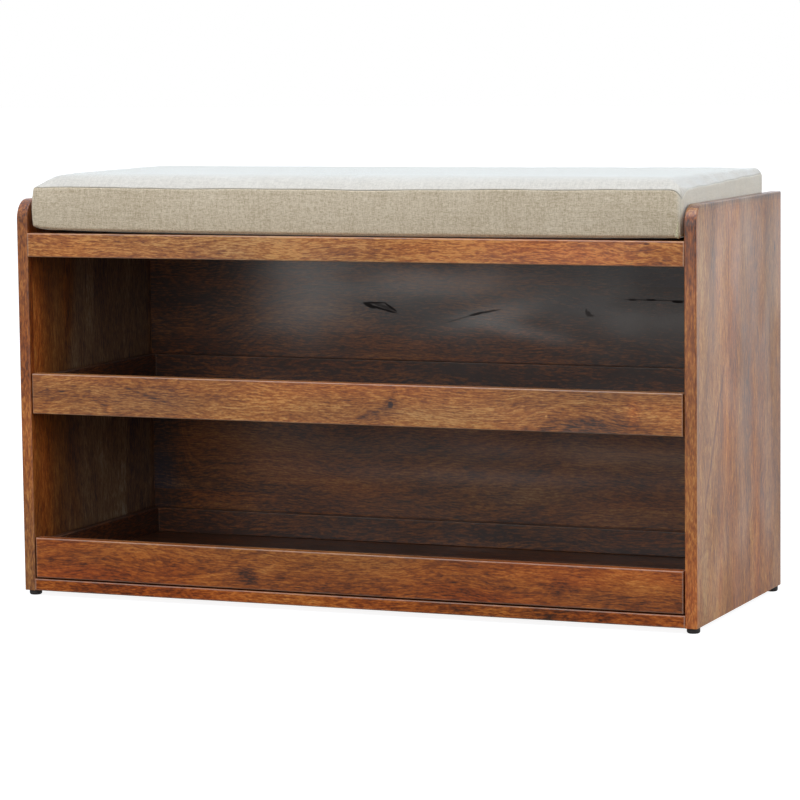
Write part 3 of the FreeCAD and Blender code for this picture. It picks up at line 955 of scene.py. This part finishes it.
def fitted(points, moved):
    """The filled cover's points, kept between the side panels, and flat at the rear where the zip is."""
    push = moved - points
    reach = np.linalg.norm(push, axis=1, keepdims=True)
    push = push * MOST_PUSH * np.tanh(reach / MOST_PUSH) / np.maximum(reach, TINY)
    push[:, 1] *= np.clip((CENTRE.y + HALF_Y - points[:, 1]) / (20 * MM), 0, 1)
    result = points + push
    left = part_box("left_side_panel")[1].x + 0.6 * MM
    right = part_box("right_side_panel")[0].x - 0.4 * MM
    result[:, 0] = np.clip(result[:, 0], left, right)
    result[:, 2] = np.clip(result[:, 2], SEAT, CROWN + 1.0 * MM)
    return result


def attach(item, body, material, node=None):
    """Makes an item a piece of the object that moves with a body and stands for a CAD node."""
    item.data.materials.append(material)
    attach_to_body(item, body)
    if node:
        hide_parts(node)


def cover_panel(panel, points, faces, fabric):
    """One sewn panel of the cover, with the thickness of its fabric."""
    chosen = [face for face in faces if face.panel == panel]
    used = sorted({corner for face in chosen for corner in face.corners})
    new = {old: number for number, old in enumerate(used)}
    corners = [[new[corner] for corner in face.corners] for face in chosen]
    item = make_mesh(f"cushion_{panel}_cover", points[used], corners)
    for name in (WEAVE, SEAM):
        layer = item.data.uv_layers.new(name=name)
        places = [place for face in chosen for place in getattr(face, name.lower())]
        layer.data.foreach_set("uv", np.array(places, np.float32).ravel())
    item.data.polygons.foreach_set("use_smooth", [True] * len(chosen))
    thick = item.modifiers.new("thickness", "SOLIDIFY")
    thick.thickness = FABRIC
    thick.offset = -1
    smooth = item.modifiers.new("smooth", "SUBSURF")
    smooth.levels = smooth.render_levels = 1
    node = "cushion_boxing" if panel == "boxing" else f"cushion_{panel}_panel"
    attach(item, "cushion", fabric, node)


def cushion_core(points, faces, material):
    """The foam that fills the cover, a little inside it."""
    item = make_mesh("cushion_core", points, [face.corners for face in faces])
    normals = [vertex.normal.copy() for vertex in item.data.vertices]
    for vertex, normal in zip(item.data.vertices, normals):
        vertex.co -= normal * (FABRIC + FOAM_GAP)
    attach(item, "cushion", material, "cushion_foam")


def cushion():
    points, draws, faces = cover_mesh()
    points = fitted(points, inflate(points, draws, faces))
    points = points + draws
    fabric = linen("linen")
    cover_panel("bottom", points, faces, fabric)
    cover_panel("boxing", points, faces, fabric)
    # The top panel is painted pale: painted light from above.
    cover_panel("top", points, faces, linen("linen_top", painted_light=0.52, pale=(0.59, 0.58, 0.54)))
    cushion_core(points, faces, foam())


# ---------------------------------------------------------------- zip


TAPE_RIB = 0.8 * MM


def zip_tape():
    shader = Shader("zip_tape", roughness=0.8, specular_ior_level=0.2)
    x, _, _ = shader.point()
    rib = shader.math("SINE", x * (2 * math.pi / TAPE_RIB))
    lint = shader.grain(900.0)
    tone = lint + rib * 0.12
    shader.colour(tone, (0.2, (0.30, 0.25, 0.17)), (0.8, (0.47, 0.41, 0.30)))
    shader.bump(rib * 0.5 + lint, 0.10 * MM)
    return shader.material


def zip_metal():
    """Nickel-plated die casting, a little worn."""
    shader = Shader("zip_metal", metallic=1.0)
    rub = shader.grain(700.0, detail=4.0)
    shader.colour(rub, (0.3, (0.42, 0.40, 0.37)), (0.7, (0.62, 0.60, 0.56)))
    shader.set("Roughness", 0.24 + rub * 0.22)
    return shader.material


def thread():
    shader = Shader("thread", roughness=0.7)
    twist = shader.grain(1500.0)
    shader.colour(twist, (0.2, (0.50, 0.43, 0.31)), (0.8, (0.70, 0.63, 0.49)))
    return shader.material


CORNER_STEPS = 6


def rounded_box(low, high, radius):
    """The outline of a rectangle with rounded corners, as (x, z) points."""
    points = []
    middles = (
        (high[0] - radius, high[1] - radius),
        (low[0] + radius, high[1] - radius),
        (low[0] + radius, low[1] + radius),
        (high[0] - radius, low[1] + radius),
    )
    for turn, (x, z) in enumerate(middles):
        for step in range(CORNER_STEPS + 1):
            angle = (turn + step / CORNER_STEPS) * math.pi / 2
            points.append((x + radius * math.cos(angle), z + radius * math.sin(angle)))
    return points


def plate(name, outlines, inner, outer, bevel):
    """A flat part parallel to the cushion's rear, from y inner to y outer. Later outlines are holes."""
    curve = bpy.data.curves.new(name, "CURVE")
    curve.dimensions = "2D"
    curve.fill_mode = "BOTH"
    curve.extrude = (outer - inner) / 2 - bevel
    curve.bevel_depth = bevel
    curve.bevel_resolution = 2
    curve.offset = -bevel
    for outline in outlines:
        spline = curve.splines.new("POLY")
        spline.points.add(len(outline) - 1)
        for point, (x, z) in zip(spline.points, outline):
            point.co = (x, z, 0, 1)
        spline.use_cyclic_u = True
    item = add_object(name, curve)
    upright = Matrix.Rotation(math.pi / 2, 4, "X")
    item.matrix_world = Matrix.Translation((0, (inner + outer) / 2, 0)) @ upright
    return item


def wire(name, points, radius):
    """A round wire bent through the points."""
    curve = bpy.data.curves.new(name, "CURVE")
    curve.dimensions = "3D"
    curve.bevel_depth = radius
    curve.bevel_resolution = 3
    curve.use_fill_caps = True
    spline = curve.splines.new("BEZIER")
    spline.bezier_points.add(len(points) - 1)
    for bend, point in zip(spline.bezier_points, points):
        bend.co = point
        bend.handle_left_type = bend.handle_right_type = "AUTO"
    return add_object(name, curve)


BLOCK_CORNERS = [(x, y, z) for x in (-0.5, 0.5) for y in (-0.5, 0.5) for z in (-0.5, 0.5)]
BLOCK_SIDES = [(0, 1, 3, 2), (4, 6, 7, 5), (0, 4, 5, 1), (2, 3, 7, 6), (0, 2, 6, 4), (1, 5, 7, 3)]


def blocks(name, centres, size, bevel):
    """Small boxes of one size with eased edges, as one mesh."""
    points = [
        [middle[i] + corner[i] * size[i] for i in range(3)]
        for middle in centres
        for corner in BLOCK_CORNERS
    ]
    faces = [[8 * number + i for i in side] for number in range(len(centres)) for side in BLOCK_SIDES]
    item = make_mesh(name, points, faces)
    eased = item.modifiers.new("eased", "BEVEL")
    eased.width = bevel
    eased.segments = 2
    return item


TOOTH = (1.0 * MM, 1.6 * MM, 2.7 * MM)
TOOTH_PITCH = 1.35 * MM
STOP = (1.6 * MM, 1.8 * MM, 3.4 * MM)
STITCH = (2.5 * MM, 0.35 * MM, 0.45 * MM)
STITCH_PITCH = 3.3 * MM

# Half the slider's width at distances from its wide end.
SLIDER_SHAPE = [(0.0, 3.0), (0.8, 4.0), (4.0, 4.0), (7.5, 3.1), (10.0, 2.9)]
SLIDER_WALL = 0.9 * MM


def zip_chain(metal):
    """The tape on the boxing's rear, its teeth with a stop at each end, and two rows of stitches."""
    low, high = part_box("cushion_zip")
    middle = (low.z + high.z) / 2
    strip = rounded_box((low.x, low.z), (high.x, high.z), 1.2 * MM)
    tape = plate("cushion_zip_tape", [strip], low.y, high.y, 0.2 * MM)
    attach(tape, "cushion", zip_tape(), "cushion_zip")

    count = int((high.x - low.x - 8 * MM) / TOOTH_PITCH)
    centres = [
        (low.x + 4 * MM + i * TOOTH_PITCH, high.y + 0.5 * MM, middle + (-1) ** i * 0.5 * MM)
        for i in range(count)
    ]
    teeth = blocks("cushion_zip_teeth", centres, TOOTH, 0.2 * MM)
    attach(teeth, "cushion", metal)
    ends = [(x, high.y + 0.6 * MM, middle) for x in (low.x + 1.5 * MM, high.x - 1.5 * MM)]
    stops = blocks("cushion_zip_stops", ends, STOP, 0.3 * MM)
    attach(stops, "cushion", metal)

    count = int((high.x - low.x - 2 * MM) / STITCH_PITCH)
    rows = (low.z + 0.7 * MM, high.z - 0.7 * MM)
    centres = [(low.x + (i + 0.8) * STITCH_PITCH, high.y, z) for z in rows for i in range(count)]
    stitches = blocks("cushion_zip_stitches", centres, STITCH, 0.12 * MM)
    attach(stitches, "cushion", thread())


def zip_slider(metal):
    """A slider whose two walls pass outside the teeth. Its pull hangs from a wire bridge."""
    low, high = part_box("zip_slider")
    middle = (low.z + high.z) / 2
    shape = [(low.x + along * MM, half * MM) for along, half in SLIDER_SHAPE]
    outline = [(x, middle + half) for x, half in shape] + [(x, middle - half) for x, half in shape[::-1]]
    body = plate("zip_slider_body", [outline], high.y - 1.6 * MM, high.y - 0.6 * MM, 0.2 * MM)
    attach(body, "zip_slider", metal, "zip_slider")
    for side, name in ((1, "upper"), (-1, "lower")):
        wall = [(x, middle + side * half) for x, half in shape]
        wall += [(x, middle + side * (half - SLIDER_WALL)) for x, half in shape[::-1]]
        item = plate(f"zip_slider_{name}_wall", [wall], low.y, high.y - 1.5 * MM, 0.1 * MM)
        attach(item, "zip_slider", metal)

    pull_low, pull_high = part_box("zip_pull")
    eye = pull_high.z - 2.35 * MM
    left, right = pull_low.x - 0.9 * MM, pull_low.x + 2.2 * MM
    foot, peak = high.y - 0.9 * MM, pull_high.y + 0.7 * MM
    path = [(left, foot), (left + 0.2 * MM, peak - 0.6 * MM), ((left + right) / 2, peak)]
    path += [(right - 0.2 * MM, peak - 0.6 * MM), (right, foot)]
    bridge = wire("zip_slider_bridge", [(x, y, eye) for x, y in path], 0.4 * MM)
    attach(bridge, "zip_slider", metal)

    outline = rounded_box((pull_low.x, pull_low.z), (pull_high.x, pull_high.z), 1.6 * MM)
    low_x, high_x = pull_low.x, pull_high.x
    hole = rounded_box((low_x + 1.1 * MM, eye - 1.4 * MM), (high_x - 1.1 * MM, eye + 1.2 * MM), 1.0 * MM)
    foot_z = pull_low.z + 2.5 * MM
    grip = rounded_box((low_x + 1.5 * MM, foot_z), (high_x - 1.5 * MM, foot_z + 8.5 * MM), 0.9 * MM)
    pull = plate("zip_pull_tab", [outline, hole, grip], pull_low.y, pull_high.y, 0.25 * MM)
    attach(pull, "zip_slider", metal, "zip_pull")


# ---------------------------------------------------------------- stage


FLOOR_SIZE = 60


def floor():
    bpy.ops.mesh.primitive_plane_add(size=FLOOR_SIZE)
    plane = bpy.context.object
    plane.name = "floor"
    shader = Shader("floor", base_color=(0.30, 0.30, 0.30, 1), roughness=0.9, specular_ior_level=0.1)
    shader.set("Emission Color", (1, 1, 1, 1))
    shader.set("Emission Strength", 0.90)
    plane.data.materials.append(shader.material)
    plane.visible_diffuse = False
    plane.visible_glossy = False
    plane.visible_shadow = False


SKY = 0.90
GROUND = 0.13
COOL = (0.84, 0.95, 1.14)
WARM = (1.02, 1.0, 0.96)
PALE = (0.95, 1.0, 1.04)
WHITE = (1, 1, 1)

# How high a direction points, from -1 to 1, where the room turns from ground to sky and from white to cool.
HORIZON = (-0.10, 0.28)
COOLING = (0.10, 0.60)


def world():
    """A pale room, darker below the horizon. It shows white behind the object."""
    bpy.context.scene.world = bpy.data.worlds.new("room")
    room = Shader("room", bpy.context.scene.world)
    _, _, height = room.split(room.add("TexCoord").outputs["Generated"], 3)
    inputs = {
        "Value": height,
        "From Min": HORIZON[0],
        "From Max": HORIZON[1],
        "To Min": GROUND,
        "To Max": SKY,
    }
    level = Field(room, room.add("MapRange", inputs).outputs["Result"])
    seen = Field(room, room.add("LightPath").outputs["Is Camera Ray"])
    room.set("Strength", room.most(level, seen))
    room.set("Color", room.ramp(height, [(COOLING[0], WHITE), (COOLING[1], COOL)]))


def area_light(name, place, aim, size, level, colour=WHITE):
    """A soft box of that size, as bright as level times a white wall in full light."""
    lamp = bpy.data.lights.new(name, "AREA")
    lamp.shape = "RECTANGLE"
    lamp.size, lamp.size_y = size
    lamp.energy = level * math.pi * size[0] * size[1]
    lamp.color = colour
    item = add_object(name, lamp)
    item.location = place
    item.rotation_euler = (Vector(aim) - Vector(place)).to_track_quat("-Z", "Y").to_euler()
    item.visible_camera = False


def lights():
    area_light("key", (-0.1, -0.9, 2.7), (0, 0, 0.5), (2.4, 1.6), 2.8, COOL)
    area_light("front_wall", (-0.8, -3.2, 1.00), (-0.8, 0, 1.0), (2.2, 2.0), 1.35, WARM)
    area_light("rear_wall", (1.8, 3.4, 0.50), (0.45, 0, 0.50), (3.2, 2.2), 0.72)
    area_light("right_wall", (3.2, 0.3, 1.20), (0.45, 0, 0.45), (2.0, 2.0), 1.60, WARM)
    area_light("window", (-1.8, 3.4, 1.30), (0, 0, 0.5), (3.0, 2.0), 0.70, PALE)


CAMERA_PLACE = (1.64203, -3.90567, 0.69750)
CAMERA_ANGLES = (0.3979, 0.1059, 0.0117)
FOCAL_LENGTH = 151.0
FILM_WIDTH = 36.0


def camera():
    """The photographer stands to the right, a little above the seat, far off with a long lens."""
    yaw, pitch, roll = CAMERA_ANGLES
    lens = bpy.data.cameras.new("camera")
    lens.lens = FOCAL_LENGTH
    lens.sensor_width = FILM_WIDTH
    item = add_object("camera", lens)
    turn = (
        Matrix.Rotation(yaw, 4, "Z")
        @ Matrix.Rotation(math.pi / 2 - pitch, 4, "X")
        @ Matrix.Rotation(-roll, 4, "Z")
    )
    item.matrix_world = Matrix.Translation(CAMERA_PLACE) @ turn
    bpy.context.scene.camera = item


def dress(nodes, material):
    for node in nodes:
        mesh = frame["nodes"][node].data
        mesh.materials.clear()
        mesh.materials.append(material)


for node, timber in TIMBERS.items():
    corner = SIDE_CORNER if node.endswith("side_panel") else 0.0
    dress([node], wood(node, timber, corner))
dress([n for n in frame["nodes"] if n.endswith("_dowels")], dowel_wood())
dress([n for n in frame["nodes"] if n.endswith(("_screws", "_nails"))], zinc_steel())
dress([n for n in frame["nodes"] if n.startswith("foot_glide")], black_plastic())
cushion()
metal = zip_metal()
zip_chain(metal)
zip_slider(metal)

floor()
world()
lights()
camera()
scene = bpy.context.scene
scene.view_settings.view_transform = "Standard"
scene.view_settings.look = "None"
